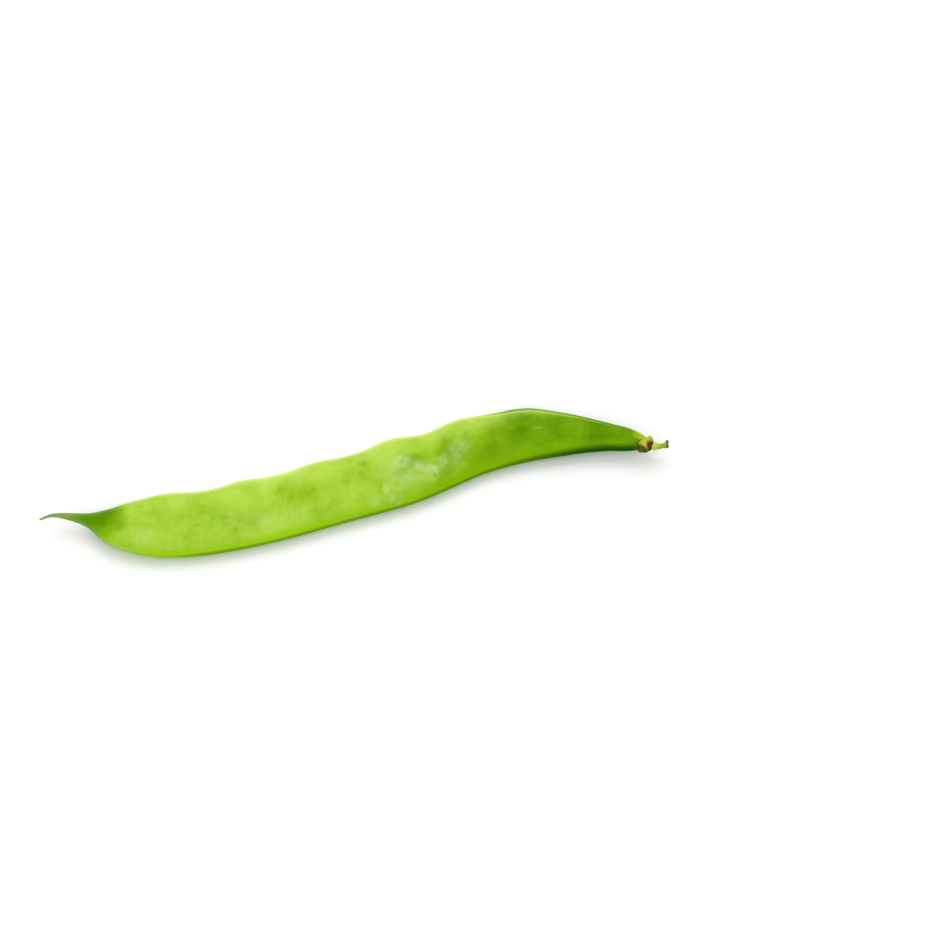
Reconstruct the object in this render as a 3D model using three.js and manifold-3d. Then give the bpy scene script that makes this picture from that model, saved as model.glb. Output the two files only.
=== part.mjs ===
// Flat bean pod: one picked pod with its dry calyx and a short stalk, lying on its broad side.
// Millimetres, +Z up, +X from the beak to the stalk, +Y towards the upper suture.

import Module from 'manifold-3d';
import * as THREE from 'three';
import { mergeVertices } from 'three/addons/utils/BufferGeometryUtils.js';

// Driving dimensions
const POD_LENGTH = 200;
const POD_WIDTH = 23;
const POD_THICKNESS = 7;
const NECK_RADIUS = 2.1;
const NECK_DEPTH = 1.3;
const STALK_LENGTH = 5.4;
const STALK_RADIUS = 0.85;
const GAP = 0.45;

const HALF_WIDTH = POD_WIDTH / 2;
const HALF_THICKNESS = POD_THICKNESS / 2;
const NECK_PLACE = 1 - NECK_DEPTH / POD_LENGTH;

// The pod seen from above: its centre line, as [share of the length, share of the width] points
const CENTRE_LINE = [
  [0, 0], [0.02, 0.055], [0.05, 0.015], [0.085, -0.08], [0.115, -0.178], [0.16, -0.246],
  [0.26, -0.29], [0.35, -0.238], [0.46, -0.094], [0.58, 0.083], [0.65, 0.214], [0.72, 0.382],
  [0.8, 0.446], [0.87, 0.375], [0.93, 0.25], [0.96, 0.168], [0.975, 0.118], [NECK_PLACE, 0.045],
];

// Half of the width between the sutures, as shares of half of the greatest width
const HALF_WIDTHS = [
  [0, 0.028], [0.02, 0.052], [0.05, 0.11], [0.07, 0.17], [0.085, 0.262], [0.1, 0.43], [0.12, 0.61],
  [0.15, 0.79], [0.18, 0.898], [0.215, 0.95], [0.3, 0.965], [0.4, 0.972], [0.5, 0.96],
  [0.6, 0.975], [0.66, 0.888], [0.74, 0.845], [0.81, 0.775], [0.86, 0.665], [0.91, 0.497],
  [0.94, 0.402], [0.965, 0.348], [0.9775, 0.29], [0.983, 0.247], [0.9885, 0.208],
  [NECK_PLACE, NECK_RADIUS / HALF_WIDTH],
];

// Half of the thickness between the seeds, as shares of half of the pod's thickness
const HALF_THICKNESSES = [
  [0, 0.06], [0.02, 0.12], [0.05, 0.25], [0.08, 0.4], [0.12, 0.62], [0.17, 0.85], [0.25, 0.97],
  [0.5, 1], [0.72, 0.98], [0.83, 0.9], [0.91, 0.76], [0.96, 0.68], [0.975, 0.64],
  [0.983, 0.612], [0.9885, 0.6], [NECK_PLACE, NECK_RADIUS / HALF_THICKNESS],
];

// How the pod lies: its middle flat on the surface, its beak and its neck bent up from it
const LIE_FROM = 0.28;
const LIE_TO = 0.7;
const BEAK_LIFT = 4.2;
const NECK_LIFT = 2.8;
const REST_FLAT = 0.12;

// The cross section: a lens with blunt edges and a keel along each suture
const SECTION_POWER = 2.2;
const UPPER_KEEL = 0.35;
const LOWER_KEEL = 0.2;
const POD_SIDES = 32;
const POD_STATIONS = 108;
const END_CROWDING = 0.6;
const NECK_ROWS = 5;
const SLOPE_STEP = 0.002;

// The seeds, as [share of the length, size], how much each swells the valves and waves the edge
const SEEDS = [[0.207, 0.7], [0.338, 1.15], [0.465, 0.9], [0.592, 1.3], [0.702, 0.9], [0.807, 0.8]];
const SEED_RISE = 0.36;
const SEED_REACH = 7;
const SEED_OFFSET = 0.12;
const SEED_SPREAD = 0.42;
const EDGE_WAVE = 1.1;
const EDGE_WAVE_REACH = 6.5;
const SLENDER_SHARE = 0.3;
const BROAD_SHARE = 0.9;

// The dry calyx cup: a bowl round the neck that opens towards the pod, and a small foot
const CALYX_WALL = 0.5;
const CALYX_LENGTH = 1.75;
const CALYX_SLANT = 1.2;
const CALYX_FLARE = 0.29;
const CALYX_SIDES = 40;
const CALYX_ROWS = 6;
const CALYX_TURN = -5;
const BOTTOM_TURN = 0.75 * Math.PI / 2;
const FOOT_TURN = 0.5 * Math.PI / 2;
const FOOT_RADIUS = 1.2;
const FOOT_EDGE = 0.24;
const FOOT_HEIGHT = 0.2;

// Its torn rim: short lobes worn down by waves of different counts, and two dry bracteoles
const LOBES = 5;
const LOBE_RISE = 0.5;
const LOBE_TEARS = [
  { count: 1, depth: 0.22, start: 0.7 },
  { count: 3, depth: 0.13, start: 2 },
  { count: 7, depth: 0.09, start: 0 },
];
const BRACTEOLES = [0.68 * Math.PI, 1.45 * Math.PI];
const BRACTEOLE_SPREAD = 0.42;
const BRACTEOLE_SWELLING = 0.09;
const BRACTEOLE_REACH = 0.25;

// The stalk: a knob next to the calyx, a slender ribbed shaft and a broken knob at its end
const STALK_THICKNESSES = [
  [0, 1.15], [0.06, 1.5], [0.16, 1.65], [0.3, 1.25], [0.5, 1], [0.75, 1], [0.9, 1.3], [1, 1.05],
];
const STALK_STRAIGHT = 0.35;
const STALK_BEND = 35;
const STALK_RISE = 0.3;
const STALK_SIDES = 15;
const STALK_STATIONS = 16;
const STALK_RIBS = 5;
const RIB_HEIGHT = 0.05;

// The dry scale that stands on the broken knob, a thin pointed blade
const SCALE_PLACE = 0.93;
const SCALE_LENGTH = 1.3;
const SCALE_WIDTH = 1.1;
const SCALE_THICKNESS = 0.6;
const SCALE_CURL = 0.3;
const SCALE_TILT = -0.4;
const SCALE_SIDES = 8;
const SCALE_STATIONS = 8;
const SCALE_OUTLINE = [[0, 0.5], [0.35, 1], [0.7, 0.75], [1, 0.25]];

const FULL_TURN = 2 * Math.PI;

const wasm = await Module();
wasm.setup();

// A smooth curve through [place, value] points, read by place
function smoothCurve(points) {
  const places = points.map(([place]) => place);
  const values = points.map(([, value]) => value);
  const curve = new THREE.CubicInterpolant(places, values, 1, new Float32Array(1));
  return (place) => curve.evaluate(place)[0];
}

// A swelling of height 1 that falls away to nothing within about twice its reach
function bump(distance, reach) {
  return Math.exp(-((distance / reach) ** 2));
}

// One closed body skinned over rows of points, each row as long as the others, ends closed by fans
function skin(rows) {
  const sides = rows[0].length;
  const corners = rows.flat();
  const faces = [];
  rows.slice(1).forEach((_, row) => {
    for (let side = 0; side < sides; side++) {
      const next = (side + 1) % sides;
      const near = row * sides;
      const far = near + sides;
      faces.push(near + side, far + next, far + side, near + side, near + next, far + next);
    }
  });
  [rows[0], rows[rows.length - 1]].forEach((row, end) => {
    const centre = row.reduce((sum, corner) => sum.add(corner), new THREE.Vector3());
    corners.push(centre.divideScalar(sides));
    const first = end * (rows.length - 1) * sides;
    for (let side = 0; side < sides; side++) {
      const pair = [first + side, first + ((side + 1) % sides)];
      faces.push(corners.length - 1, ...(end ? pair : pair.reverse()));
    }
  });
  const geometry = new THREE.BufferGeometry().setFromPoints(corners);
  geometry.setIndex(faces);
  return geometry;
}

// A closed solid that can be joined to others
function solid(geometry) {
  const bare = geometry.clone();
  bare.deleteAttribute('normal');
  bare.deleteAttribute('uv');
  const merged = mergeVertices(bare);
  return new wasm.Manifold(new wasm.Mesh({
    numProp: 3,
    vertProperties: merged.getAttribute('position').array,
    triVerts: Uint32Array.from(merged.index.array),
  }));
}

// Two closed bodies fused into one
function fuse(one, other) {
  const mesh = solid(one).add(solid(other)).getMesh();
  const geometry = new THREE.BufferGeometry();
  geometry.setAttribute('position', new THREE.BufferAttribute(mesh.vertProperties, 3));
  geometry.setIndex([...mesh.triVerts]);
  return geometry;
}

function part(name, geometry, colour, roughness) {
  geometry.computeVertexNormals();
  const material = new THREE.MeshStandardMaterial({ color: colour, roughness, metalness: 0 });
  const mesh = new THREE.Mesh(geometry, material);
  mesh.name = name;
  return mesh;
}

const sidewaysAt = smoothCurve(CENTRE_LINE);
const halfWidthAt = smoothCurve(HALF_WIDTHS);
const halfThicknessAt = smoothCurve(HALF_THICKNESSES);

function seedSwelling(place, reach) {
  return SEEDS.reduce((sum, [seedPlace, size]) => {
    return sum + size * bump(POD_LENGTH * (place - seedPlace), reach);
  }, 0);
}

function liftAt(place) {
  const towardsBeak = Math.max(0, (LIE_FROM - place) / LIE_FROM);
  const towardsNeck = Math.max(0, (place - LIE_TO) / (1 - LIE_TO));
  return BEAK_LIFT * towardsBeak ** 2 + NECK_LIFT * towardsNeck ** 2;
}

function centreAt(place) {
  const height = HALF_THICKNESS + liftAt(place);
  return new THREE.Vector3(POD_LENGTH * place, POD_WIDTH * sidewaysAt(place), height);
}

// The direction along the pod at a place, and the level one across it towards the upper suture
function alongAt(place) {
  const from = centreAt(Math.max(0, place - SLOPE_STEP));
  const to = centreAt(Math.min(NECK_PLACE, place + SLOPE_STEP));
  return to.sub(from).normalize();
}

function acrossAt(place) {
  const along = alongAt(place);
  return new THREE.Vector3(-along.y, along.x, 0).normalize();
}

function blunted(value) {
  return Math.sign(value) * Math.abs(value) ** (2 / SECTION_POWER);
}

// One cross section of the pod. Past the neck's place it moves on by beyond and shrinks to size
function podSection(place, beyond = 0, size = 1) {
  const centre = centreAt(place).addScaledVector(alongAt(place), beyond);
  const across = acrossAt(place);
  const breadth = THREE.MathUtils.smoothstep(halfWidthAt(place), SLENDER_SHARE, BROAD_SHARE);
  const wave = EDGE_WAVE * breadth * seedSwelling(place, EDGE_WAVE_REACH);
  const swelling = SEED_RISE * breadth * seedSwelling(place, SEED_REACH);
  return Array.from({ length: POD_SIDES }, (_, side) => {
    const angle = FULL_TURN * side / POD_SIDES;
    const acrossShare = blunted(Math.cos(angle));
    const upShare = blunted(Math.sin(angle));
    const keel = (side === 0 ? UPPER_KEEL : 0) - (side === POD_SIDES / 2 ? LOWER_KEEL : 0);
    const upperWave = wave * Math.max(0, acrossShare);
    const sideways = HALF_WIDTH * halfWidthAt(place) * acrossShare + upperWave + keel * breadth;
    const seed = swelling * bump(acrossShare - SEED_OFFSET, SEED_SPREAD);
    const upwards = (HALF_THICKNESS * halfThicknessAt(place) + seed) * upShare;
    const corner = centre.clone().addScaledVector(across, sideways * size);
    corner.z = Math.max(REST_FLAT, corner.z + upwards * size);
    return corner;
  });
}

function podGeometry() {
  const rows = [];
  for (let station = 0; station <= POD_STATIONS; station++) {
    const share = station / POD_STATIONS;
    const crowded = share - END_CROWDING * Math.sin(FULL_TURN * share) / FULL_TURN;
    rows.push(podSection(NECK_PLACE * crowded));
  }
  for (let row = 1; row < NECK_ROWS; row++) {
    const angle = Math.PI / 2 * row / NECK_ROWS;
    rows.push(podSection(NECK_PLACE, NECK_DEPTH * Math.sin(angle), Math.cos(angle)));
  }
  return skin(rows);
}

// A row of points round the local X axis, its radius and its place along the axis given by angle
function ring(sides, radiusAt, alongAxisAt) {
  return Array.from({ length: sides }, (_, side) => {
    const angle = FULL_TURN * side / sides;
    const radius = radiusAt(angle);
    const along = alongAxisAt(angle);
    return new THREE.Vector3(along, radius * Math.cos(angle), radius * Math.sin(angle));
  });
}

// 1 in the middle of a bracteole, falling to 0 beside it
function bracteoleAt(angle) {
  return BRACTEOLES.reduce((sum, middle) => sum + bump(angle - middle, BRACTEOLE_SPREAD), 0);
}

// How far the rim is from the bottom of the bowl: less at the upper suture, more at the lower one
function rimAt(angle) {
  const slant = -CALYX_SLANT * Math.cos(angle);
  const lobe = LOBE_RISE * Math.abs(Math.cos((angle - Math.PI) * LOBES / 2));
  const torn = LOBE_TEARS.reduce((sum, tear) => {
    return sum + tear.depth * Math.sin(tear.count * angle + tear.start);
  }, 0);
  return CALYX_LENGTH + slant + lobe + torn + BRACTEOLE_REACH * bracteoleAt(angle);
}

// The bowl is as much shallower than a half ball as the neck's end is
function bowlDepth(radius) {
  return radius - NECK_RADIUS + NECK_DEPTH;
}

// A point of the cup's profile by its turn: 0 at the neck's place, a right angle at the bottom of the
// bowl, and below 0 on the mouth that flares towards the pod
function cupProfile(radius, turn) {
  const depth = bowlDepth(radius);
  if (turn > 0) {
    return { out: radius * Math.cos(turn), along: depth * Math.sin(turn) };
  }
  const past = -depth * turn;
  return { out: radius + CALYX_FLARE * past ** 2, along: -past };
}

// The turn at which the profile reaches the torn rim
function rimTurn(radius, angle) {
  const share = (bowlDepth(NECK_RADIUS + GAP) - rimAt(angle)) / bowlDepth(radius);
  return share > 0 ? Math.asin(share) : share;
}

function calyxGeometry() {
  const inner = NECK_RADIUS + GAP;
  const outer = inner + CALYX_WALL;
  const cupRow = (radius, share, deepest, relief) => {
    const profileAt = (angle) => {
      const turn = THREE.MathUtils.lerp(rimTurn(radius, angle), deepest, share);
      return cupProfile(radius, turn);
    };
    const radiusAt = (angle) => profileAt(angle).out * (1 + relief * bracteoleAt(angle));
    return ring(CALYX_SIDES, radiusAt, (angle) => profileAt(angle).along);
  };
  const inside = [];
  const outside = [];
  for (let row = 0; row <= CALYX_ROWS; row++) {
    const share = row / CALYX_ROWS;
    inside.unshift(cupRow(inner, share, BOTTOM_TURN, 0));
    outside.push(cupRow(outer, share, FOOT_TURN, BRACTEOLE_SWELLING));
  }
  const bottom = bowlDepth(outer);
  outside.push(ring(CALYX_SIDES, () => FOOT_RADIUS, () => bottom));
  outside.push(ring(CALYX_SIDES, () => FOOT_RADIUS - FOOT_EDGE, () => bottom + FOOT_HEIGHT));
  return skin([...inside, ...outside]);
}

// The stalk's path: straight out of the calyx, then bent back towards the upper suture's side
function stalkPath() {
  const start = NECK_DEPTH + GAP + CALYX_WALL + FOOT_HEIGHT + GAP;
  const bend = THREE.MathUtils.degToRad(STALK_BEND);
  const corner = start + STALK_LENGTH * STALK_STRAIGHT;
  const rest = STALK_LENGTH * (1 - STALK_STRAIGHT);
  return new THREE.QuadraticBezierCurve3(
    new THREE.Vector3(start, 0, 0),
    new THREE.Vector3(corner, 0, 0),
    new THREE.Vector3(corner + rest * Math.cos(bend), rest * Math.sin(bend), STALK_RISE),
  );
}

function stalkShaft(path) {
  const thicknessAt = smoothCurve(STALK_THICKNESSES);
  const frames = path.computeFrenetFrames(STALK_STATIONS);
  const rows = frames.tangents.map((_, station) => {
    const share = station / STALK_STATIONS;
    const centre = path.getPointAt(share);
    return Array.from({ length: STALK_SIDES }, (__, side) => {
      const angle = FULL_TURN * side / STALK_SIDES;
      const rib = 1 + RIB_HEIGHT * Math.cos(STALK_RIBS * angle);
      const radius = STALK_RADIUS * thicknessAt(share) * rib;
      return centre.clone()
        .addScaledVector(frames.normals[station], radius * Math.cos(angle))
        .addScaledVector(frames.binormals[station], radius * Math.sin(angle));
    });
  });
  return skin(rows);
}

// The dry scale, drawn along local X and then stood on the end of the stalk
function dryScale(path) {
  const outlineAt = smoothCurve(SCALE_OUTLINE);
  const rows = Array.from({ length: SCALE_STATIONS + 1 }, (_, station) => {
    const share = station / SCALE_STATIONS;
    const half = SCALE_WIDTH / 2 * outlineAt(share);
    return Array.from({ length: SCALE_SIDES }, (__, side) => {
      const angle = FULL_TURN * side / SCALE_SIDES;
      const rise = SCALE_CURL * share ** 2 + SCALE_THICKNESS / 2 * Math.sin(angle);
      return new THREE.Vector3(SCALE_LENGTH * share, half * Math.cos(angle), rise);
    });
  });
  const end = path.getPointAt(SCALE_PLACE);
  const turn = Math.PI / 2 + THREE.MathUtils.degToRad(STALK_BEND);
  const stand = new THREE.Matrix4();
  stand.makeRotationFromEuler(new THREE.Euler(0, SCALE_TILT, turn, 'ZYX'));
  stand.setPosition(end.x, end.y + STALK_RADIUS / 2, end.z);
  return skin(rows).applyMatrix4(stand);
}

function pedicelGeometry() {
  const path = stalkPath();
  return fuse(stalkShaft(path), dryScale(path));
}

// The calyx and the stalk share an axis, which turns a little from the neck's own direction
function stalkEnd() {
  const along = alongAt(NECK_PLACE);
  const end = new THREE.Group();
  const turn = Math.atan2(along.y, along.x) + THREE.MathUtils.degToRad(CALYX_TURN);
  end.position.copy(centreAt(NECK_PLACE));
  end.rotation.set(0, -Math.asin(along.z), turn, 'ZYX');
  end.add(part('calyx', calyxGeometry(), 0x9a7432, 0.85));
  end.add(part('pedicel', pedicelGeometry(), 0x9ab62c, 0.6));
  return end;
}

const beanPod = new THREE.Group();
beanPod.add(part('pod', podGeometry(), 0xa2cd39, 0.45));
beanPod.add(stalkEnd());

// The origin is at the middle of the footprint, on the surface
const bounds = new THREE.Box3().setFromObject(beanPod, true);
const footprint = bounds.getCenter(new THREE.Vector3());
beanPod.position.set(-footprint.x, -footprint.y, -bounds.min.z);
beanPod.updateMatrixWorld(true);

export default beanPod;
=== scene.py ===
# Flat bean pod: the fine form and the finish of one picked pod, on a pale floor in soft studio light.
# Metres, in the frame of the solids: +X from the beak to the stalk, +Y towards the upper suture.

import math

import bpy
import numpy as np
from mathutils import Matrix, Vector


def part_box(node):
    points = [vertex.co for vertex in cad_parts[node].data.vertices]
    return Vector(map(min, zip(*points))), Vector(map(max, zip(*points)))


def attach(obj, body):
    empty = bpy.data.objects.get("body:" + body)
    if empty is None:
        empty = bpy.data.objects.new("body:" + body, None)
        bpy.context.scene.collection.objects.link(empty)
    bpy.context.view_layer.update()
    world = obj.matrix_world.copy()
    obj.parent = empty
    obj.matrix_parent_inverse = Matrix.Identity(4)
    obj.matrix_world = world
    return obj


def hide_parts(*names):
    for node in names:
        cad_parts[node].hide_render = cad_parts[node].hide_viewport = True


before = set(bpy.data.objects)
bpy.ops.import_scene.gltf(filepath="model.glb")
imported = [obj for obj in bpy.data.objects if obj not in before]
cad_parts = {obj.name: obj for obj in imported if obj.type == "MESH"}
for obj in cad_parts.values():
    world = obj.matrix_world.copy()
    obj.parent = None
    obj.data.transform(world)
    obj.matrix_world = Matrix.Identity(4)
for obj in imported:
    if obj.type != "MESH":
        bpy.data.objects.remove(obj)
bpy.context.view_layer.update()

MM = 0.001


def mm(*lengths):
    """Lengths given in millimetres, mostly where something starts and where it ends"""
    return tuple(length * MM for length in lengths)


# Shader maths as Python expressions


class Value:
    """One number that varies over a surface. Arithmetic on it adds Math nodes to its shading"""

    def __init__(self, shading, socket):
        self.shading = shading
        self.socket = socket

    def maths(self, operation, first, second):
        node = self.shading.node("ShaderNodeMath", {"operation": operation}, {0: first, 1: second})
        return Value(self.shading, node.outputs[0])

    def __add__(self, other):
        return self.maths("ADD", self, other)

    def __sub__(self, other):
        return self.maths("SUBTRACT", self, other)

    def __rsub__(self, other):
        return self.maths("SUBTRACT", other, self)

    def __mul__(self, other):
        return self.maths("MULTIPLY", self, other)

    def __truediv__(self, other):
        return self.maths("DIVIDE", self, other)

    __radd__ = __add__
    __rmul__ = __mul__

    def most(self, other):
        return self.maths("MAXIMUM", self, other)

    def swing(self, reach):
        """A value from 0 to 1 made to swing about nothing, by half the reach each way"""
        return (self - 0.5) * reach


class Shading:
    """Shader nodes of one material or of the world, added one at a time"""

    def __init__(self, owner):
        owner.use_nodes = True
        self.tree = owner.node_tree
        self.tree.nodes.clear()

    def node(self, kind, settings=None, sockets=None):
        """A node of a kind, with its settings made first and then its sockets' values or links"""
        node = self.tree.nodes.new(kind)
        for name, value in (settings or {}).items():
            if name == "stops":
                self.set_stops(node.color_ramp, value)
            else:
                setattr(node, name, value)
        for name, value in (sockets or {}).items():
            if isinstance(value, Value):
                value = value.socket
            if isinstance(value, bpy.types.NodeSocket):
                self.tree.links.new(value, node.inputs[name])
            else:
                node.inputs[name].default_value = value
        return node

    @staticmethod
    def set_stops(ramp, stops):
        while len(ramp.elements) < len(stops):
            ramp.elements.new(0.5)
        for element, (place, value) in zip(ramp.elements, stops):
            element.position = place
            element.color = value if isinstance(value, tuple) else (value, value, value, 1)

    def number(self, node, output=0):
        return Value(self, node.outputs[output])

    def place(self):
        """Where the surface is, in the piece's own frame"""
        return self.node("ShaderNodeTexCoord").outputs["Object"]

    def attribute(self, name):
        return self.number(self.node("ShaderNodeAttribute", {"attribute_name": name}), "Fac")

    def rise(self, value, low, high):
        """0 below low, 1 above high, and a smooth rise between them"""
        return self.number(self.node(
            "ShaderNodeMapRange",
            {"interpolation_type": "SMOOTHSTEP"},
            {"Value": value, "From Min": low, "From Max": high},
        ))

    def ramp(self, share, stops):
        """A colour or a number read from [share, colour or number] stops"""
        return self.node("ShaderNodeValToRGB", {"stops": stops}, {"Fac": share})

    def noise(self, at, size, detail=2.0, roughness=0.5):
        """Cloudy noise about 0.5, with clouds of a given size"""
        return self.number(self.node("ShaderNodeTexNoise", {}, {
            "Vector": at, "Scale": 1 / size, "Detail": detail, "Roughness": roughness,
        }))

    def stretched(self, at, turn, reach):
        """Places turned and then stretched, so that a pattern runs along a direction"""
        return self.node("ShaderNodeMapping", {"vector_type": "TEXTURE"}, {
            "Vector": at, "Rotation": turn, "Scale": reach,
        }).outputs[0]

    def blend(self, share, one, other):
        """From one colour to the other as the share goes from 0 to 1"""
        mixed = self.node("ShaderNodeMix", {"data_type": "RGBA"}, {0: share, 6: one, 7: other})
        return mixed.outputs[2]


class Finish(Shading):
    """A procedural material: a Principled surface with a bump, fed by what varies over the piece"""

    def __init__(self, name):
        self.material = bpy.data.materials.new(name)
        super().__init__(self.material)
        self.shader = self.node("ShaderNodeBsdfPrincipled")
        self.node("ShaderNodeOutputMaterial", {}, {"Surface": self.shader.outputs[0]})

    def varies(self, name, value):
        socket = value.socket if isinstance(value, Value) else value
        self.tree.links.new(socket, self.shader.inputs[name])

    def keeps(self, **values):
        """Sets the shader's own sockets, named with _ for a space"""
        for name, value in values.items():
            self.shader.inputs[name.replace("_", " ")].default_value = value

    def bump(self, height):
        """Bump from a height in millimetres"""
        bump = self.node("ShaderNodeBump", {}, {"Strength": 1.0, "Distance": MM, "Height": height})
        self.varies("Normal", bump.outputs[0])


# Copies of the solids, and what is done to them

MERGE_REACH = 0.002 * MM
PAIRING_ANGLE = math.radians(60)
LEAST_SHARE = 0.002


def select_only(piece):
    bpy.ops.object.select_all(action="DESELECT")
    piece.select_set(True)
    bpy.context.view_layer.objects.active = piece


def copy_of_solid(node, name):
    """A new piece with a node's form, its loose triangles merged and paired into four-sided faces"""
    piece = bpy.data.objects.new(name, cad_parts[node].data.copy())
    bpy.context.scene.collection.objects.link(piece)
    piece.data.materials.clear()
    select_only(piece)
    bpy.ops.mesh.customdata_custom_splitnormals_clear()
    bpy.ops.object.mode_set(mode="EDIT")
    bpy.ops.mesh.select_all(action="SELECT")
    bpy.ops.mesh.remove_doubles(threshold=MERGE_REACH)
    bpy.ops.mesh.tris_convert_to_quads(face_threshold=PAIRING_ANGLE, shape_threshold=PAIRING_ANGLE)
    bpy.ops.object.mode_set(mode="OBJECT")
    bpy.ops.object.shade_smooth()
    return piece


def apply_modifier(piece, kind, **settings):
    modifier = piece.modifiers.new(kind, kind)
    for name, value in settings.items():
        setattr(modifier, name, value)
    select_only(piece)
    bpy.ops.object.modifier_apply(modifier=modifier.name)


def subdivide(piece, levels):
    apply_modifier(piece, "SUBSURF", levels=levels, render_levels=levels)


def places_of(piece):
    places = np.empty(len(piece.data.vertices) * 3, np.float32)
    piece.data.vertices.foreach_get("co", places)
    return places.reshape(-1, 3)


def smooth_rise(value, low, high):
    """0 below low, 1 above high, and a smooth rise between them"""
    share = np.clip((value - low) / (high - low), 0, 1)
    return share * share * (3 - 2 * share)


def hump(value, middle, reach):
    """1 at the middle, falling smoothly to nothing at the reach on both sides"""
    return 1 - smooth_rise(np.abs(value - middle), 0, reach)


def clouds(name, size, depth=1):
    texture = bpy.data.textures.new(name, "CLOUDS")
    texture.noise_scale = size
    texture.noise_depth = depth
    return texture


def swell(piece, height, shares, texture=None):
    """Moves the skin out along its normals, by a height times each point's share of it"""
    group = piece.vertex_groups.new(name="shares")
    for point in np.flatnonzero(shares > LEAST_SHARE):
        group.add([int(point)], float(shares[point]), "REPLACE")
    settings = {"strength": height, "mid_level": 0.0, "vertex_group": group.name}
    if texture:
        settings.update(texture=texture, texture_coords="LOCAL", mid_level=0.5)
    apply_modifier(piece, "DISPLACE", **settings)
    piece.vertex_groups.clear()


def store(piece, name, values):
    """Keeps one number for each point of a piece, for its material to read"""
    kept = piece.data.attributes.new(name, "FLOAT", "POINT")
    kept.data.foreach_set("value", values.astype(np.float32))


def finish_piece(piece, finish, node):
    """Gives a piece its material and its place in the frame"""
    piece.data.materials.append(finish.material)
    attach(piece, "root")
    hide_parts(node)


# The pod

POD_LEVELS = 2

# Its outline seen from above is read from the piece itself, in short steps
OUTLINE_STEP = 0.5 * MM
SMOOTHED_STEPS = 5

# The skin's unevenness, how far from the edges it is whole, and how high up from the rest plane
UNEVEN_SIZE = 11 * MM
UNEVEN_HEIGHT = 0.55 * MM
FINE_UNEVEN_SIZE = 3.2 * MM
FINE_UNEVEN_HEIGHT = 0.12 * MM
UNEVEN_FROM_EDGE = 4 * MM
REST_REACH = 2.5 * MM

# The two sutures: a rounded cord along each edge, with a furrow beside it
UPPER_CORD = 0.7 * MM
UPPER_CORD_HEIGHT = 0.22 * MM
UPPER_FURROW = 1.5 * MM
UPPER_FURROW_DEPTH = 0.12 * MM
LOWER_CORD = 0.5 * MM
LOWER_CORD_HEIGHT = 0.12 * MM
LOWER_FURROW = 1.1 * MM
LOWER_FURROW_DEPTH = 0.07 * MM

# Where the cords begin and end and the upper furrow ends, from the tip of the beak
CORDS_BEGIN = mm(9, 26)
CORDS_END = mm(186, 197)
UPPER_FURROW_ENDS = mm(140, 160)


def suture_lines(places):
    """The two sutures seen from above: x values, and the y of the upper and the lower one"""
    steps = np.arange(places[:, 0].min(), places[:, 0].max(), OUTLINE_STEP)
    found = []
    for x in steps:
        near = places[np.abs(places[:, 0] - x) < OUTLINE_STEP]
        if len(near):
            found.append((x, near[:, 1].max(), near[:, 1].min()))
    xs, upper, lower = np.array(found).T
    window = np.ones(SMOOTHED_STEPS) / SMOOTHED_STEPS
    padded = [np.pad(line, SMOOTHED_STEPS // 2, "edge") for line in (upper, lower)]
    return xs, *[np.convolve(line, window, "valid") for line in padded]


def pod_places(places):
    """For each point: how far it is from the beak's tip, the upper suture and the lower one"""
    xs, upper, lower = suture_lines(places)
    from_beak = places[:, 0] - places[:, 0].min()
    under_rim = np.interp(places[:, 0], xs, upper) - places[:, 1]
    over_hem = places[:, 1] - np.interp(places[:, 0], xs, lower)
    lean = np.arctan(np.gradient((upper + lower) / 2, xs))
    narrowed = np.cos(np.interp(places[:, 0], xs, lean))
    return from_beak, under_rim * narrowed, over_hem * narrowed


def make_pod():
    pod = copy_of_solid("pod", "pod_skin")
    subdivide(pod, POD_LEVELS)
    places = places_of(pod)
    from_beak, under_rim, over_hem = pod_places(places)
    corded = smooth_rise(from_beak, *CORDS_BEGIN) * (1 - smooth_rise(from_beak, *CORDS_END))
    inside = corded * smooth_rise(np.minimum(under_rim, over_hem), 0, UNEVEN_FROM_EDGE)
    free = smooth_rise(places[:, 2], 0, REST_REACH)
    before_neck = 1 - smooth_rise(from_beak, *UPPER_FURROW_ENDS)

    swell(pod, UNEVEN_HEIGHT, inside * free, clouds("slow unevenness", UNEVEN_SIZE))
    swell(pod, FINE_UNEVEN_HEIGHT, inside * free, clouds("fine unevenness", FINE_UNEVEN_SIZE))
    swell(pod, UPPER_CORD_HEIGHT, corded * (1 - smooth_rise(under_rim, 0, 2 * UPPER_CORD)))
    swell(pod, -UPPER_FURROW_DEPTH, corded * before_neck * hump(under_rim, UPPER_FURROW, UPPER_CORD))
    swell(pod, LOWER_CORD_HEIGHT, corded * (1 - smooth_rise(over_hem, 0, 2 * LOWER_CORD)))
    swell(pod, -LOWER_FURROW_DEPTH, corded * hump(over_hem, LOWER_FURROW, LOWER_CORD))

    store(pod, "from_beak", from_beak)
    store(pod, "under_rim", under_rim)
    store(pod, "over_hem", over_hem)
    finish_piece(pod, PodSkin(), "pod")


# The colours of the skin

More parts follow.
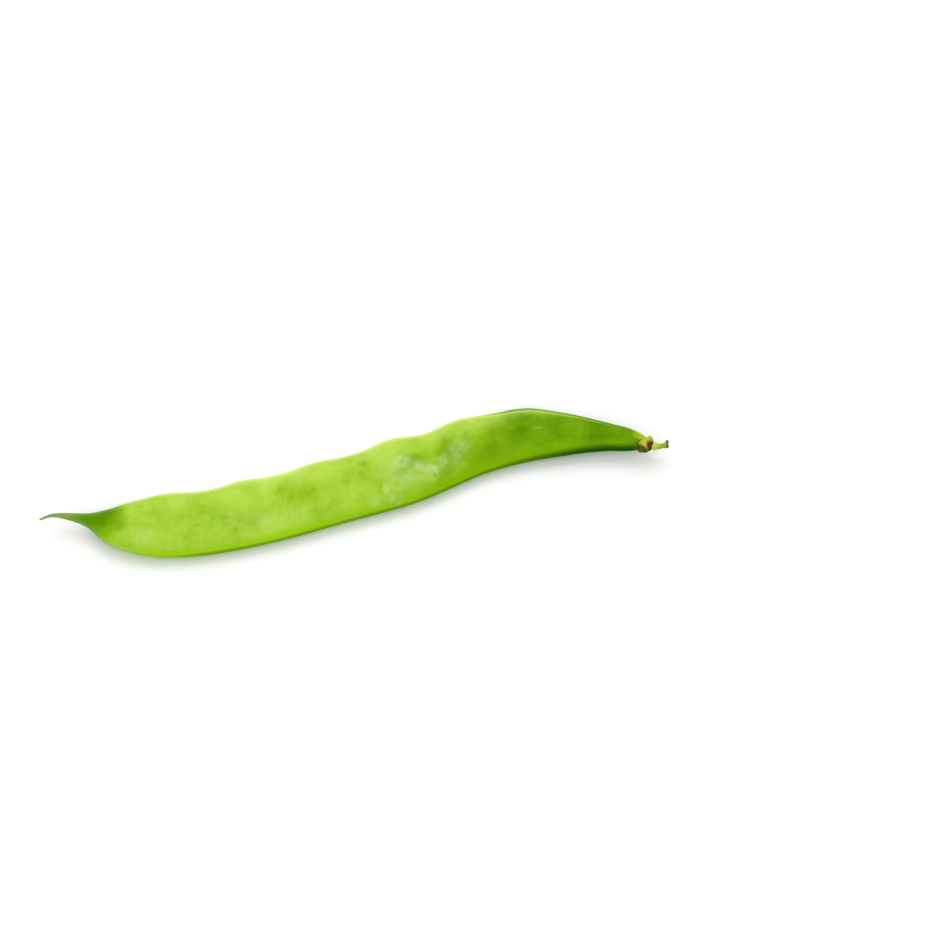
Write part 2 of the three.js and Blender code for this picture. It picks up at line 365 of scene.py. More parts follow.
PALE_GREEN = (0.41, 0.62, 0.062, 1)
LIGHT_GREEN = (0.365, 0.58, 0.045, 1)
YOUNG_GREEN = (0.32, 0.54, 0.028, 1)
FRESH_GREEN = (0.22, 0.42, 0.006, 1)
DEEP_GREEN = (0.09, 0.245, 0.0, 1)
# Pale green of the painted highlight along the upper rim, also used for two scratches
RIM_HIGHLIGHT_AND_SCRATCH_GREEN = (0.68, 0.88, 0.18, 1)
# Painted highlight along the upper rim near the neck
NECK_RIM_HIGHLIGHT_GREEN = (0.42, 0.62, 0.03, 1)
# The lower side: its yellow-green partly painted bounce light, its green partly painted shade
HEM_YELLOW = (0.30, 0.59, 0.0, 1)
HEM_GREEN = (0.17, 0.38, 0.0, 1)
SHADE_GREEN = (0.004, 0.07, 0.0, 1)
BLOOM_AND_SHEEN_WHITE = (0.58, 0.74, 0.34, 1)
HAZE_GREY = (0.36, 0.50, 0.20, 1)
SPECK_BROWN = (0.10, 0.13, 0.02, 1)
BEAK_GREY = (0.22, 0.31, 0.13, 1)
BEAK_EDGE_GREEN = (0.40, 0.56, 0.20, 1)
SHOULDER_YELLOW = (0.34, 0.50, 0.012, 1)
SHOULDER_OLIVE = (0.10, 0.13, 0.003, 1)
SHOULDER_TAN = (0.56, 0.51, 0.07, 1)

# How deep the green is along the pod, as [share of its length, depth], and the greens by their depth
# Deep green towards the neck and at the beak's root: partly the pod's own colour, partly painted
# shade
GREEN_AND_SHADE_DEPTH = [
    (0.0, 0.5), (0.035, 0.62), (0.055, 0.5), (0.077, 1.0), (0.092, 1.0), (0.112, 0.55),
    (0.13, 0.1), (0.23, 0.15), (0.355, 0.07), (0.42, 0.17), (0.55, 0.13), (0.63, 0.22),
    (0.68, 0.4), (0.745, 0.74), (0.81, 0.72), (0.91, 0.88), (1.0, 0.9),
]
GREENS = [
    (0.0, PALE_GREEN), (0.13, LIGHT_GREEN), (0.26, YOUNG_GREEN), (0.45, FRESH_GREEN),
    (1.0, DEEP_GREEN),
]

# The deep green by the beak, partly painted shade, lies aslant: how far it shifts towards the neck
# from the hem upwards, and the width over which it does
BEAK_GREEN_LEAN = 6 * MM
BEAK_GREEN_WIDTH = 9 * MM

# Patches, blotches and slanting fibres: their sizes, and how much each deepens the green
PATCH_SIZE = 9 * MM
PATCH_DEPTH = 1.1
BLOTCH_SIZE = 2 * MM
BLOTCH_DEPTH = 0.25
FIBRE_SIZE = 0.9 * MM
FIBRE_DEPTH = 0.1
FIBRE_TURN = (0, 0, math.radians(62))
FIBRE_STRETCH = (9, 1, 4)

# The middle of the valve is a little deeper than its sides
MIDDLE_UNDER_RIM = mm(5, 10)
MIDDLE_OVER_HEM = mm(4, 9)
MIDDLE_DEPTH = 0.06

# The upper suture: a painted highlight under the rim, and a painted highlight line on it. Where they
# begin and end along the pod is counted from the beak's tip, and how broad they are from the rim
RIM_TURNS_GREEN = mm(160, 190)
GLOW_BEGINS = mm(22, 45)
GLOW_ENDS = mm(164, 190)
GLOW_FROM = 0.3 * MM
GLOW_TO = 8 * MM
GLOW_NARROWS = mm(140, 185)
GLOW_NARROWS_BY = 5 * MM
GLOW_WAVERS = 4 * MM
RIM_LINE = mm(0.3, 1.9)
RIM_HIGHLIGHT_LINE_STRENGTH = 0.6

# How strong the painted rim highlight is along the pod, as [share of its length, strength]
RIM_HIGHLIGHT_STRENGTHS = [
    (0.165, 0.35), (0.22, 0.05), (0.296, 0.09), (0.355, 0.42), (0.43, 0.44), (0.49, 0.14),
    (0.557, 0.48), (0.62, 0.08), (0.688, 0.38), (0.75, 0.44), (0.82, 0.48), (0.88, 0.2),
]

# Towards the neck the rim turns away: a painted highlight on a crest under it, and painted shade on
# the skin beyond
RIM_TURNS_AWAY = mm(140, 158)
RIM_TURNS_BACK = mm(166, 180)
CREST_BEGINS = mm(142, 152)
CREST_ENDS = mm(182, 193)
CREST_UNDER_RIM = 0.5 * MM
CREST_MOVES_DOWN = 1.2 * MM
CREST_MOVES_BACK = 0.3 * MM
CREST_RISE = 0.5 * MM
CREST_FALL = 0.6 * MM
CREST_HIGHLIGHT_STRENGTH = 0.5
BEYOND_SHADE_REACH = 0.7 * MM
BEYOND_SHADE_STRENGTH = 0.7

# The lower suture: a green side, partly painted bounce light turning to painted shade by the neck,
# and a thin line of painted shade on the hem that broadens by the neck
HEM_TURNS_GREEN = mm(70, 185)
SIDE_BEGINS = mm(16, 24)
SIDE_FROM = 0.6 * MM
SIDE_TO = 3 * MM
SIDE_BROADENS = mm(60, 110)
SIDE_BROADENS_BY = 1.5 * MM
SIDE_WAVERS = 3 * MM
SIDE_STRENGTH = 0.85
LINE_BEGINS = mm(35, 55)
LINE_FROM = 0.1 * MM
LINE_TO = 0.7 * MM
LINE_BROADENS = mm(142, 188)
LINE_BROADENS_BY = 1.5 * MM
LINE_STRENGTH = 0.5
LINE_GAINS_BY_NECK = 0.5

# Marks on the upper valve: [middle, reach, turn and strength], in millimetres and degrees
DEEPER_MARKS = [((-19.7, -5.3), (7.0, 5.0), 5, 1.0), ((2.6, 2.6), (8.0, 6.5), 0, 0.7)]
# Whitish marks: partly bloom, partly painted sheen
BLOOM_AND_SHEEN_MARKS = [
    ((15.3, 4.0), (4.8, 3.2), 25, 0.95),
    ((21.2, 1.5), (3.8, 2.6), -50, 1.0),
    ((25.1, -0.1), (4.2, 2.2), -20, 1.0),
    ((19.0, -1.7), (6.0, 3.0), 0, 0.5),
    ((29.1, 2.4), (4.5, 3.0), 40, 0.5),
    ((34.5, 6.0), (6.0, 3.0), 42, 0.3),
    ((9.4, -5.0), (3.2, 2.0), 75, 0.5),
    ((11.1, -8.1), (3.4, 1.8), 65, 0.5),
    ((13.0, -9.2), (3.0, 1.6), 60, 0.4),
    ((6.0, -8.9), (5.0, 3.0), 10, 0.35),
    ((-71.0, -10.5), (8.0, 5.0), -8, 0.22),
]
RING_MARK = ((13.3, -3.7), (3.6, 3.2), 30, 1.0)
HAZE_MARKS = [
    ((33.5, 4.5), (10.0, 5.0), 48, 1.0),
    ((17.0, 0.0), (15.0, 7.5), -5, 0.8),
    ((-40.0, -9.0), (17.0, 6.0), -10, 0.35),
]
# Pale strokes: partly bloom, partly painted sheen
STROKE_MARKS = [((-28.5, -11.5), (7.0, 5.5), 0, 1.0), ((-19.0, -10.5), (5.0, 4.5), 0, 0.9)]
SCRATCH_MARKS = [((52.6, 11.0), (1.5, 0.5), -8, 0.6), ((61.2, 9.9), (2.5, 0.55), -8, 1.0)]
SPECK_MARKS = [((-53.0, -9.8), (1.8, 0.9), 15, 0.35), ((25.6, -2.2), (0.45, 1.1), 0, 0.7)]

# How high the marks lie, how thick they are, and the share of their reach that has full strength
MARK_LEVEL = 7
MARK_THICKNESS = 5
MARK_CORE = 0.2
DEEPER_MARK_DEPTH = 0.1

# Bloom, partly painted sheen, and haze are worn off where a cloudy noise is low, and the bloom is
# broken into flakes
WORN_SIZE = 2.6 * MM
WORN_LEAVES = 0.3
BLOOM_HOLDS = (0.3, 0.6)
BLOOM_AND_SHEEN_STRENGTH = 0.7
HAZE_HOLDS = (0.35, 0.65)
HAZE_STRENGTH = 0.42
FLAKE_SIZE = 1.6 * MM
FLAKES_HOLD = (0.35, 0.68)
FLAKES_LEAVE = 0.55
FLAKES_ADD = 0.5
RING_HOLE = 0.6
RING_STRENGTH = 0.42

# Fine slanting strokes, scratches and specks
STROKE_SIZE = 1.2 * MM
STROKE_TURN = (0, 0, math.radians(70))
STROKE_STRETCH = (1.8, 1, 1.5)
STROKES_HOLD = (0.4, 0.7)
STROKE_STRENGTH = 0.24
SCRATCH_STRENGTH = 0.14
SPECK_SPACING = 1.1 * MM
SPECKS_HOLD = (0.83, 0.87)
STREWN_STRENGTH = 0.5
SPECK_STRENGTH = 0.6

# The grey beak with its paler edges
ENDS_WAVER = 3 * MM
GREY_BEAK = mm(1.5, 16)
GREY_STRENGTH = 0.8
BEAK_EDGE = mm(0.2, 1.6)
BEAK_EDGE_BEGINS = mm(8, 16)
BEAK_EDGE_ENDS = mm(26, 36)
BEAK_EDGE_STRENGTH = 0.3

# The shoulder by the calyx, in places before the pod's end. Only its upper side is yellow and tan;
# the olive lower side is partly painted shade
SHOULDER = mm(6.5, 3.5)
SHOULDER_STRENGTH = 0.85
TAN_SHOULDER = mm(2, 1)
UPPER_SIDE = mm(-3, 0.5)

# The skin's roughness, and its relief in millimetres
SKIN_ROUGHNESS = 0.42
PATCHES_ROUGHEN = 0.2
DUST_ROUGHENS = 0.25
BEAK_ROUGHENS = 0.2
GRAIN_SIZE = 0.5 * MM
GRAIN_RELIEF = 0.02
BLOTCH_RELIEF = 0.04
FIBRE_RELIEF = 0.02
DUST_RELIEF = 0.015
SPECK_DEPTH = 0.05


class PodSkin(Finish):
    """The skin of the valves: mottled greens, the two sutures, whitish bloom, and both ends, with
    painted highlight, sheen and shade
    """

    def __init__(self):
        super().__init__("pod_skin")
        self.at = self.place()
        self.length = node_length("pod")
        self.along = self.attribute("from_beak")
        self.rim = self.attribute("under_rim")
        self.hem = self.attribute("over_hem")
        self.patches = self.noise(self.at, PATCH_SIZE, detail=3)
        self.blotches = self.noise(self.at, BLOTCH_SIZE)
        slanting = self.stretched(self.at, FIBRE_TURN, FIBRE_STRETCH)
        self.fibres = self.noise(slanting, FIBRE_SIZE, detail=1)

        colour = self.greens()
        colour = self.upper_suture(colour)
        colour = self.lower_suture(colour)
        colour = self.bloom(colour)
        colour = self.strokes_and_scratches(colour)
        colour = self.specks(colour)
        colour = self.beak(colour)
        colour = self.shoulder(colour)
        self.varies("Base Color", colour)
        self.surface()

    def greens(self):
        """Pale to deep green along the pod, in soft patches, and aslant by the beak. The deep green
        by the neck and the beak is partly painted shade
        """
        aslant = self.rise(self.hem, 0, BEAK_GREEN_WIDTH).swing(BEAK_GREEN_LEAN)
        # The depth along the pod is partly the pod's own colour and partly painted shade towards the
        # neck and beak
        depth = self.number(self.ramp((self.along - aslant) / self.length, GREEN_AND_SHADE_DEPTH))
        depth = depth + self.patches.swing(PATCH_DEPTH) + self.blotches.swing(BLOTCH_DEPTH)
        depth = depth + self.fibres.swing(FIBRE_DEPTH)
        depth = depth + self.all_marks(DEEPER_MARKS) * DEEPER_MARK_DEPTH
        middle = self.rise(self.rim, *MIDDLE_UNDER_RIM) * self.rise(self.hem, *MIDDLE_OVER_HEM)
        depth = depth + middle * MIDDLE_DEPTH
        return self.ramp(depth, GREENS).outputs[0]

    def upper_suture(self, colour):
        """A painted highlight under the rim and a painted highlight line on it, and the crest towards
        the neck
        """
        rim_highlight_green = self.blend(self.rise(self.along, *RIM_TURNS_GREEN), RIM_HIGHLIGHT_AND_SCRATCH_GREEN, NECK_RIM_HIGHLIGHT_GREEN)
        on_body = self.between(GLOW_BEGINS, GLOW_ENDS)
        glow_end = GLOW_TO - self.rise(self.along, *GLOW_NARROWS) * GLOW_NARROWS_BY
        glow = 1 - self.rise(self.rim + self.patches.swing(GLOW_WAVERS), GLOW_FROM, glow_end)
        strength = self.number(self.ramp(self.along / self.length, RIM_HIGHLIGHT_STRENGTHS))
        line = 1 - self.rise(self.rim, *RIM_LINE)
        # Painted highlight: the pale glow and line along the upper rim
        colour = self.blend(glow * on_body * strength, colour, rim_highlight_green)
        colour = self.blend(line * on_body * RIM_HIGHLIGHT_LINE_STRENGTH, colour, rim_highlight_green)
        return self.crest(colour, rim_highlight_green)

    def crest(self, colour, rim_highlight_green):
        """Where the rim turns away: painted shade on the skin beyond, and a painted highlight on the
        crest before it
        """
        turned_away = self.rise(self.along, *RIM_TURNS_AWAY)
        turned_back = self.rise(self.along, *RIM_TURNS_BACK)
        top = CREST_UNDER_RIM + turned_away * CREST_MOVES_DOWN - turned_back * CREST_MOVES_BACK
        # Painted shade beyond the crest, and a painted highlight on the crest
        beyond = turned_away * (1 - self.rise(self.rim, top - BEYOND_SHADE_REACH, top))
        crest = self.rise(self.rim, top - CREST_RISE, top)
        crest = crest * (1 - self.rise(self.rim, top, top + CREST_FALL))
        shown = self.between(CREST_BEGINS, CREST_ENDS)
        colour = self.blend(beyond * BEYOND_SHADE_STRENGTH, colour, DEEP_GREEN)
        return self.blend(crest * shown * CREST_HIGHLIGHT_STRENGTH, colour, rim_highlight_green)

    def lower_suture(self, colour):
        """A side that turns from yellow-green to green, partly painted bounce light and painted
        shade, and a line of painted shade on the hem
        """
        # The side: partly the suture's own green, partly painted bounce light and painted shade
        # towards the neck
        hem_lit_to_shaded_green = self.blend(self.rise(self.along, *HEM_TURNS_GREEN), HEM_YELLOW, HEM_GREEN)
        side_end = SIDE_TO + self.rise(self.along, *SIDE_BROADENS) * SIDE_BROADENS_BY
        side = 1 - self.rise(self.hem + self.patches.swing(SIDE_WAVERS), SIDE_FROM, side_end)
        past_beak = self.rise(self.along, *SIDE_BEGINS)
        colour = self.blend(side * past_beak * SIDE_STRENGTH, colour, hem_lit_to_shaded_green)

        # Painted shade along the hem, darker and broader by the neck
        by_neck = self.rise(self.along, *LINE_BROADENS)
        line = 1 - self.rise(self.hem, LINE_FROM, LINE_TO + by_neck * LINE_BROADENS_BY)
        begun = self.rise(self.along, *LINE_BEGINS)
        strength = begun * LINE_STRENGTH + by_neck * LINE_GAINS_BY_NECK
        return self.blend(line * strength, colour, SHADE_GREEN)

    def bloom(self, colour):
        """A thin grey haze, and over it whitish bloom in soft flakes, partly painted sheen, with a
        faint ring
        """
        unworn = self.noise(self.at, WORN_SIZE)
        haze = self.all_marks(HAZE_MARKS) * self.left_of(unworn, HAZE_HOLDS)
        colour = self.blend(haze * HAZE_STRENGTH, colour, HAZE_GREY)

        flakes = self.rise(self.noise(self.at, FLAKE_SIZE, detail=1), *FLAKES_HOLD)
        ring = (self.one_mark(RING_MARK) - self.one_mark(RING_MARK, RING_HOLE)).most(0.0)
        # Whitish bloom, partly a painted sheen
        bloom = self.all_marks(BLOOM_AND_SHEEN_MARKS) * self.left_of(unworn, BLOOM_HOLDS)
        bloom = bloom * (FLAKES_LEAVE + flakes * FLAKES_ADD)
        self.bloom_and_sheen_share = bloom.most(ring * RING_STRENGTH)
        return self.blend(self.bloom_and_sheen_share * BLOOM_AND_SHEEN_STRENGTH, colour, BLOOM_AND_SHEEN_WHITE)

    def left_of(self, unworn, holds):
        """What wear leaves of the bloom: all of it where the noise holds, a share elsewhere"""
        return WORN_LEAVES + self.rise(unworn, *holds) * (1 - WORN_LEAVES)

    def strokes_and_scratches(self, colour):
        """Fine slanting pale strokes in two places, partly bloom and partly painted sheen, and two
        scratches
        """
        # The strokes are partly painted sheen
        slanting = self.stretched(self.at, STROKE_TURN, STROKE_STRETCH)
        strokes = self.rise(self.noise(slanting, STROKE_SIZE, detail=3), *STROKES_HOLD)
        strokes = strokes * self.all_marks(STROKE_MARKS)
        colour = self.blend(strokes * STROKE_STRENGTH, colour, BLOOM_AND_SHEEN_WHITE)
        return self.blend(self.all_marks(SCRATCH_MARKS) * SCRATCH_STRENGTH, colour, RIM_HIGHLIGHT_AND_SCRATCH_GREEN)

    def specks(self, colour):
        """Two small brown marks, and a few specks strewn over the skin"""
        strewn = self.rise(self.noise(self.at, SPECK_SPACING, detail=0), *SPECKS_HOLD)
        self.speckled = self.all_marks(SPECK_MARKS).most(strewn * STREWN_STRENGTH)
        return self.blend(self.speckled * SPECK_STRENGTH, colour, SPECK_BROWN)

    def beak(self, colour):
        """Grey-green towards its tip, with paler edges where it widens"""
        self.greyed = 1 - self.rise(self.wavering(), *GREY_BEAK)
        colour = self.blend(self.greyed * GREY_STRENGTH, colour, BEAK_GREY)
        edge = 1 - self.rise(self.rim, *BEAK_EDGE) * self.rise(self.hem, *BEAK_EDGE)
        by_beak = self.between(BEAK_EDGE_BEGINS, BEAK_EDGE_ENDS)
        return self.blend(edge * by_beak * BEAK_EDGE_STRENGTH, colour, BEAK_EDGE_GREEN)

    def shoulder(self, colour):
        """Yellow above and olive below, the olive partly painted shade, and tan where the upper side
        meets the calyx
        """
        upper_side = self.rise(self.hem - self.rim, *UPPER_SIDE)
        # The olive below is partly painted shade under the shoulder
        yellow_over_shaded_olive = self.blend(upper_side, SHOULDER_OLIVE, SHOULDER_YELLOW)
        by_calyx = self.rise(self.wavering(), *self.before_end(SHOULDER))
        colour = self.blend(by_calyx * SHOULDER_STRENGTH, colour, yellow_over_shaded_olive)
        tan = self.rise(self.wavering(), *self.before_end(TAN_SHOULDER))
        return self.blend(tan * upper_side, colour, SHOULDER_TAN)

    def surface(self):
        """A satin skin with a fine grain, dull where the bloom and painted sheen lie"""
        roughness = SKIN_ROUGHNESS + self.patches.swing(PATCHES_ROUGHEN)
        roughness = roughness + self.bloom_and_sheen_share * DUST_ROUGHENS + self.greyed * BEAK_ROUGHENS
        self.varies("Roughness", roughness)
        relief = self.noise(self.at, GRAIN_SIZE) * GRAIN_RELIEF + self.blotches * BLOTCH_RELIEF
        relief = relief + self.fibres * FIBRE_RELIEF + self.bloom_and_sheen_share * DUST_RELIEF
        self.bump(relief - self.speckled * SPECK_DEPTH)
        self.keeps(
            Specular_IOR_Level=0.06, Specular_Tint=(0.8, 1.0, 0.1, 1), Subsurface_Weight=0.08,
            Subsurface_Scale=1 * MM, Subsurface_Radius=(0.8, 1.0, 0.1),
        )

    def between(self, begins, ends):
        """1 on a stretch of the pod, from where something begins to where it ends"""
        return self.rise(self.along, *begins) * (1 - self.rise(self.along, *ends))

    def wavering(self):
        """The way from the beak's tip, made uneven so that no edge across the pod is straight"""
        return self.along + self.blotches.swing(ENDS_WAVER)

    def before_end(self, places):
        """Places counted back from the pod's end, as they are from the beak's tip"""
        return [self.length - place for place in places]

    def one_mark(self, mark, share=1.0):
        """A mark, or the inner share of it: whole in its core, falling to 0 at its reach"""
        (x, y), (length, width), turn, strength = mark
        local = self.node("ShaderNodeMapping", {"vector_type": "TEXTURE"}, {
            "Vector": self.at, "Location": mm(x, y, MARK_LEVEL),
            "Rotation": (0, 0, math.radians(turn)),
            "Scale": mm(length * share, width * share, MARK_THICKNESS),
        })
        distance = self.node("ShaderNodeVectorMath", {"operation": "LENGTH"}, {0: local.outputs[0]})
        return (1 - self.rise(self.number(distance, "Value"), MARK_CORE, 1.0)) * strength

    def all_marks(self, marks):
        """The strongest of several marks"""
        strongest = self.one_mark(marks[0])
        for mark in marks[1:]:
            strongest = strongest.most(self.one_mark(mark))
        return strongest


def node_length(node):
    lowest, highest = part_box(node)
    return highest.x - lowest.x


# The calyx: a dry cup on the line from the neck through the stalk

CALYX_LEVELS = 2
TORN_REACH = 0.7 * MM
TORN_HEIGHT = 0.25 * MM
TORN_SIZE = 0.8 * MM
CRINKLE_HEIGHT = 0.16 * MM
CRINKLE_SIZE = 0.45 * MM
CALYX_SECTORS = 48

CALYX_TAN = (0.58, 0.52, 0.08, 1)
CALYX_YELLOW = (0.36, 0.43, 0.03, 1)
CALYX_ORANGE = (0.34, 0.20, 0.012, 1)
CALYX_BROWN = (0.055, 0.027, 0.001, 1)
CALYX_OLIVE = (0.065, 0.09, 0.0, 1)

# From its torn rim the upper side is yellow, then tan, orange and brown. The lower side is olive. The
# brown by the foot and the olive below are partly painted shade
YELLOW_ENDS = mm(0.5, 1.8)
YELLOW_STRENGTH = 0.8
TAN_ENDS = mm(1.9, 2.5)
ORANGE_ENDS = mm(2.5, 3.0)
CALYX_UPPER_SIDE = mm(-2.5, -1.7)

# Tan and orange end nearer the rim the further towards the upper suture they are
ENDS_LEAN = 0.35
ENDS_LEAN_FROM = -1.5 * MM

# Blotches, how far they move the edges of the colours, and veins
CALYX_BLOTCH_SIZE = 1.2 * MM
ENDS_SWING = 1 * MM
UPPER_SIDE_SWING = 1.5 * MM
BLOTCHES_HOLD = (0.5, 0.7)
BLOTCH_STRENGTH = 0.25
VEIN_SIZE = 0.35 * MM
VEIN_STRETCH = (7, 1, 1)
VEINS_HOLD = (0.52, 0.7)
VEIN_STRENGTH = 0.15

# How rough the dry calyx is, and its relief in millimetres
CALYX_ROUGHNESS = 0.75
VEINS_ROUGHEN = 0.3
VEIN_RELIEF = 0.12
CALYX_BLOTCH_RELIEF = 0.1


def stalk_axis():
    """The foot of the calyx, and the direction from the pod through it. The solid's fans of
    triangles meet in two points on this line, so these are the corners that most triangles share"""
    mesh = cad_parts["calyx"].data
    corners = np.array([mesh.vertices[index].co for face in mesh.polygons for index in face.vertices])
    spots, meetings = np.unique(corners.round(6), axis=0, return_counts=True)
    inside, foot = sorted(spots[np.argsort(meetings)[-2:]], key=lambda spot: spot[0])
    return Vector(foot), Vector(foot - inside).normalized()


def turn_to(axis):
    """The turn that lays a pattern's own X along an axis"""
    return 0, -math.asin(axis.z), math.atan2(axis.y, axis.x)


def calyx_places(places, foot, axis):
    """For each point: how far it is from the torn rim, and how far towards the upper suture"""
    across = Vector((-axis.y, axis.x, 0)).normalized()
    offsets = places - np.array(foot)
    from_foot = -offsets @ np.array(axis)
    sideways = offsets @ np.array(across)
    turns = np.arctan2(offsets @ np.array(axis.cross(across)), sideways)
    sectors, step = np.linspace(-np.pi, np.pi, CALYX_SECTORS, retstep=True)
    rim = [from_foot[np.abs(turns - sector) < step].max() for sector in sectors]
    return np.interp(turns, sectors, rim) - from_foot, sideways


def make_calyx(foot, axis):
    calyx = copy_of_solid("calyx", "calyx_cup")
    subdivide(calyx, CALYX_LEVELS)
    under_rim, sideways = calyx_places(places_of(calyx), foot, axis)
    torn = 1 - smooth_rise(under_rim, 0, TORN_REACH)
    swell(calyx, TORN_HEIGHT, torn, clouds("torn rim", TORN_SIZE, depth=2))
    swell(calyx, CRINKLE_HEIGHT, np.ones(len(torn)), clouds("crinkles", CRINKLE_SIZE, depth=2))
    store(calyx, "under_rim", under_rim)
    store(calyx, "sideways", sideways)
    finish_piece(calyx, calyx_finish(axis), "calyx")


def calyx_finish(axis):
    """Papery tan with a yellow rim, turning orange and brown to the foot, and olive below; the brown
    and the olive are partly painted shade
    """
    finish = Finish("dry_calyx")
    at = finish.place()
    sideways = finish.attribute("sideways")
    blotches = finish.noise(at, CALYX_BLOTCH_SIZE, detail=3, roughness=0.6)
    veins = finish.noise(finish.stretched(at, turn_to(axis), VEIN_STRETCH), VEIN_SIZE)
    from_rim = finish.attribute("under_rim") + blotches.swing(ENDS_SWING)
    aslant = from_rim + (sideways - ENDS_LEAN_FROM) * ENDS_LEAN
    upper_side = finish.rise(sideways + blotches.swing(UPPER_SIDE_SWING), *CALYX_UPPER_SIDE)
    yellow = 1 - finish.rise(from_rim, *YELLOW_ENDS)
    papery = 1 - finish.rise(aslant, *TAN_ENDS)
    orange = 1 - finish.rise(aslant, *ORANGE_ENDS)
    blotched = finish.rise(blotches, *BLOTCHES_HOLD) * BLOTCH_STRENGTH
    veined = finish.rise(veins, *VEINS_HOLD) * VEIN_STRENGTH

    # Olive below and brown by the foot: partly the calyx's own colour, partly painted shade
    colour = finish.blend(upper_side, CALYX_OLIVE, CALYX_BROWN)
    colour = finish.blend(blotched, colour, CALYX_ORANGE)
    colour = finish.blend(orange * upper_side, colour, CALYX_ORANGE)
    colour = finish.blend(papery * upper_side, colour, CALYX_TAN)
    colour = finish.blend(yellow * upper_side * YELLOW_STRENGTH, colour, CALYX_YELLOW)
    colour = finish.blend(veined, colour, CALYX_TAN)
    finish.varies("Base Color", colour)
    finish.varies("Roughness", CALYX_ROUGHNESS + veins.swing(VEINS_ROUGHEN))
    finish.bump(veins * VEIN_RELIEF + blotches * CALYX_BLOTCH_RELIEF)
    finish.keeps(Specular_IOR_Level=0.1)
    return finish


# The stalk

STALK_VOXEL = 0.07 * MM
STALK_SMOOTHING = 4
STALK_NEAR_END = 0.9 * MM
STALK_SINKS_IN = 0.7 * MM
STALK_GRAIN_HEIGHT = 0.12 * MM
STALK_GRAIN_SIZE = 0.5 * MM

STALK_GREEN = (0.26, 0.39, 0.0, 1)
STALK_PALE = (0.50, 0.62, 0.09, 1)
STALK_OLIVE = (0.09, 0.085, 0.003, 1)

# Where the pale knob by the calyx ends and the broken end begins, from the calyx's foot
KNOB_ENDS = mm(1.2, 2.6)
BROKEN_BEGINS = mm(4.2, 4.9)
BROKEN_SWING = 1 * MM

# Blotches and ribs, how rough the stalk is, and its relief in millimetres
STALK_BLOTCH_SIZE = 0.9 * MM
RIB_SIZE = 0.3 * MM
RIB_STRETCH = (8, 1, 1)
RIBS_HOLD = (0.45, 0.7)
RIB_STRENGTH = 0.4
STALK_ROUGHNESS = 0.55
BREAK_ROUGHENS = 0.3
RIB_RELIEF = 0.1
STALK_BLOTCH_RELIEF = 0.06


def make_stalk(foot, axis):
    stalk = copy_of_solid("pedicel", "stalk")
    reach_into_calyx(stalk, foot, axis)
    apply_modifier(stalk, "REMESH", mode="VOXEL", voxel_size=STALK_VOXEL, use_smooth_shade=True)
    apply_modifier(stalk, "SMOOTH", factor=0.5, iterations=STALK_SMOOTHING)
    offsets = places_of(stalk) - np.array(foot)
    grain = clouds("stalk grain", STALK_GRAIN_SIZE, depth=2)
    swell(stalk, STALK_GRAIN_HEIGHT, np.ones(len(offsets)), grain)
    store(stalk, "from_calyx", np.linalg.norm(offsets, axis=1))
    finish_piece(stalk, stalk_finish(axis), "pedicel")


def reach_into_calyx(stalk, foot, axis):
    """Moves the stalk's near end back until it meets the foot of the calyx"""
    select_only(stalk)
    for vertex in stalk.data.vertices:
        vertex.select = (vertex.co - foot).dot(axis) < STALK_NEAR_END
    for polygon in stalk.data.polygons:
        polygon.select = False
    bpy.ops.object.mode_set(mode="EDIT")
    bpy.ops.mesh.select_mode(type="VERT")
    bpy.ops.transform.translate(value=axis * -STALK_SINKS_IN)
    bpy.ops.object.mode_set(mode="OBJECT")


def stalk_finish(axis):
    """Yellow-green with pale ribs, a pale knob by the calyx, and a dry olive broken end"""
    finish = Finish("green_stalk")
    at = finish.place()
    along = finish.attribute("from_calyx")
    blotches = finish.noise(at, STALK_BLOTCH_SIZE, detail=3, roughness=0.6)
    ribs = finish.noise(finish.stretched(at, turn_to(axis), RIB_STRETCH), RIB_SIZE, detail=1)
    knob = 1 - finish.rise(along, *KNOB_ENDS)
    broken = finish.rise(along + blotches.swing(BROKEN_SWING), *BROKEN_BEGINS)
    ribbed = finish.rise(ribs, *RIBS_HOLD) * RIB_STRENGTH

    colour = finish.blend(knob, STALK_GREEN, STALK_PALE)
    colour = finish.blend(ribbed, colour, STALK_PALE)
    colour = finish.blend(broken, colour, STALK_OLIVE)
    finish.varies("Base Color", colour)
    finish.varies("Roughness", STALK_ROUGHNESS + broken * BREAK_ROUGHENS)
    finish.bump(ribs * RIB_RELIEF + blotches * STALK_BLOTCH_RELIEF)
    finish.keeps(Specular_IOR_Level=0.2)
    return finish


# The studio: a pale floor, a pale sky and two soft boxes

FLOOR_SIZE = 8.0
FLOOR_DROP = 0.02 * MM
FLOOR_WHITE = (0.95, 0.95, 0.95, 1)
SKY_WHITE = (1, 1, 1, 1)
SKY_LOW = 0.5
SKY_HIGH = 0.72
SKY_FULL_FROM = 0.8


def make_floor():
    bpy.ops.mesh.primitive_plane_add(size=FLOOR_SIZE, location=(0, 0, -FLOOR_DROP))
    floor = bpy.context.object
    floor.name = "floor"
    finish = Finish("floor")
    finish.keeps(Base_Color=FLOOR_WHITE, Roughness=0.9, Specular_IOR_Level=0.1)
    floor.data.materials.append(finish.material)


def make_sky():
    """A pale sky: dim low down, so that the pod's sides are in soft shade, and brighter overhead"""
    world = bpy.data.worlds.new("studio")
    bpy.context.scene.world = world
    shading = Shading(world)
    direction = shading.node("ShaderNodeTexCoord").outputs["Generated"]
    height = shading.number(shading.node("ShaderNodeSeparateXYZ", {}, {0: direction}), "Z")
    strength = SKY_LOW + shading.rise(height, 0.0, SKY_FULL_FROM) * (SKY_HIGH - SKY_LOW)
    sky = shading.node("ShaderNodeBackground", {}, {"Color": SKY_WHITE, "Strength": strength})
    shading.node("ShaderNodeOutputWorld", {}, {"Surface": sky.outputs[0]})


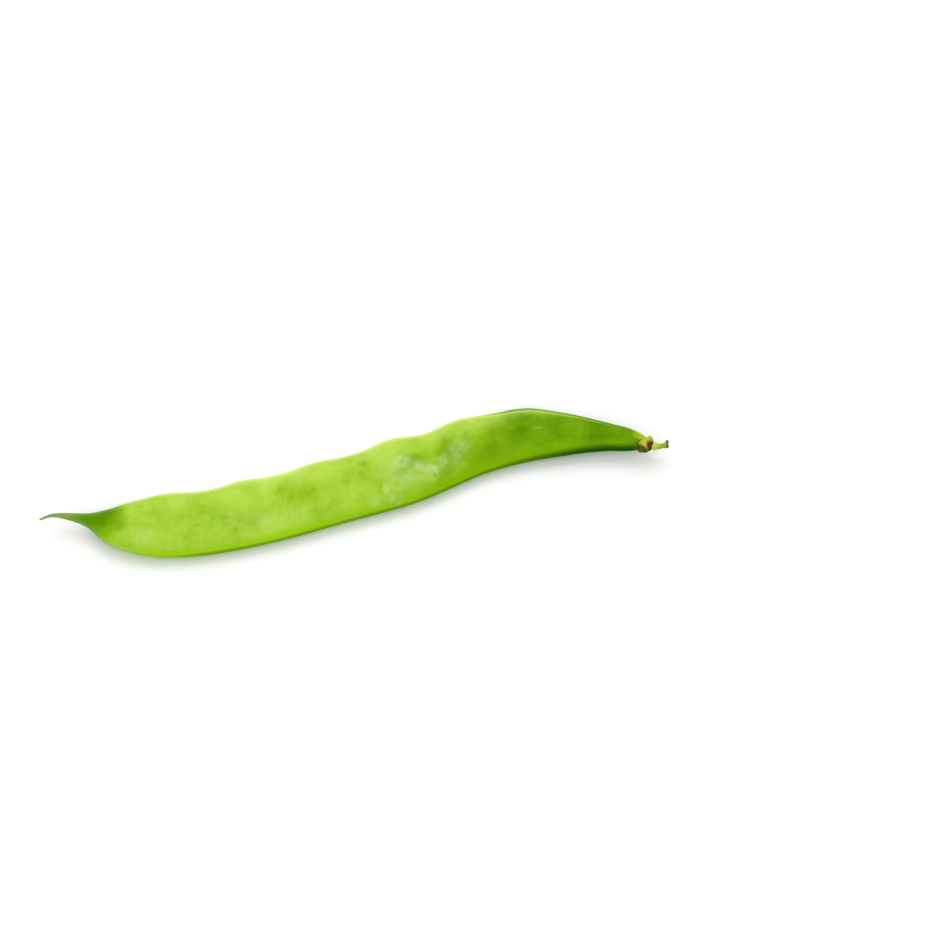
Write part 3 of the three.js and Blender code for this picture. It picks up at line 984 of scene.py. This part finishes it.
def soft_box(name, azimuth, elevation, distance, size, power):
    """A square light that faces the pod, its azimuth counted like the camera's"""
    light = bpy.data.lights.new(name, "AREA")
    light.size = size
    light.energy = power
    lamp = bpy.data.objects.new(name, light)
    bpy.context.scene.collection.objects.link(lamp)
    out = outwards(math.radians(azimuth), math.radians(elevation))
    lamp.location = out * distance
    lamp.rotation_euler = out.to_track_quat("Z", "Y").to_euler()


def outwards(azimuth, elevation):
    """The direction from the pod to something that looks at it"""
    level = math.cos(elevation)
    return Vector((math.sin(azimuth) * level, -math.cos(azimuth) * level, math.sin(elevation)))


# The camera: a long lens that looks down on the pod from its lower suture's side, a little turned

PICTURE_SIZE = 941
PIXELS_PER_METRE = 3090
BEAK_TIP_IN_PICTURE = (39, 519)
CAMERA_ELEVATION = math.radians(64)
CAMERA_TURN = math.radians(7.854)
CAMERA_DISTANCE = 2.0
CAMERA_SEES_TO = 100
SENSOR_WIDTH = 36


def make_camera():
    """Aims the camera so that the beak's tip shows where the picture has it"""
    places = places_of(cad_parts["pod"])
    beak_tip = Vector(places[places[:, 0].argmin()])
    out = outwards(-CAMERA_TURN, CAMERA_ELEVATION)
    turned = out.to_track_quat("Z", "Y")
    right = turned @ Vector((1, 0, 0))
    up = turned @ Vector((0, 1, 0))
    across = (PICTURE_SIZE / 2 - BEAK_TIP_IN_PICTURE[0]) / PIXELS_PER_METRE
    down = (PICTURE_SIZE / 2 - BEAK_TIP_IN_PICTURE[1]) / PIXELS_PER_METRE
    aim = beak_tip + right * across - up * down
    data = bpy.data.cameras.new("camera")
    data.sensor_width = SENSOR_WIDTH
    data.lens = SENSOR_WIDTH * CAMERA_DISTANCE * PIXELS_PER_METRE / PICTURE_SIZE
    data.clip_end = CAMERA_SEES_TO
    camera = bpy.data.objects.new("camera", data)
    bpy.context.scene.collection.objects.link(camera)
    camera.location = aim + out * CAMERA_DISTANCE
    camera.rotation_euler = turned.to_euler()
    bpy.context.scene.camera = camera


# The whole scene

make_camera()
make_floor()
make_sky()
soft_box("key", azimuth=178, elevation=60, distance=1.2, size=0.9, power=5.3)
soft_box("fill", azimuth=-30, elevation=62, distance=1.4, size=1.2, power=5.0)
bpy.context.scene.view_settings.view_transform = "Standard"

make_pod()
calyx_foot, stalk_direction = stalk_axis()
make_calyx(calyx_foot, stalk_direction)
make_stalk(calyx_foot, stalk_direction)
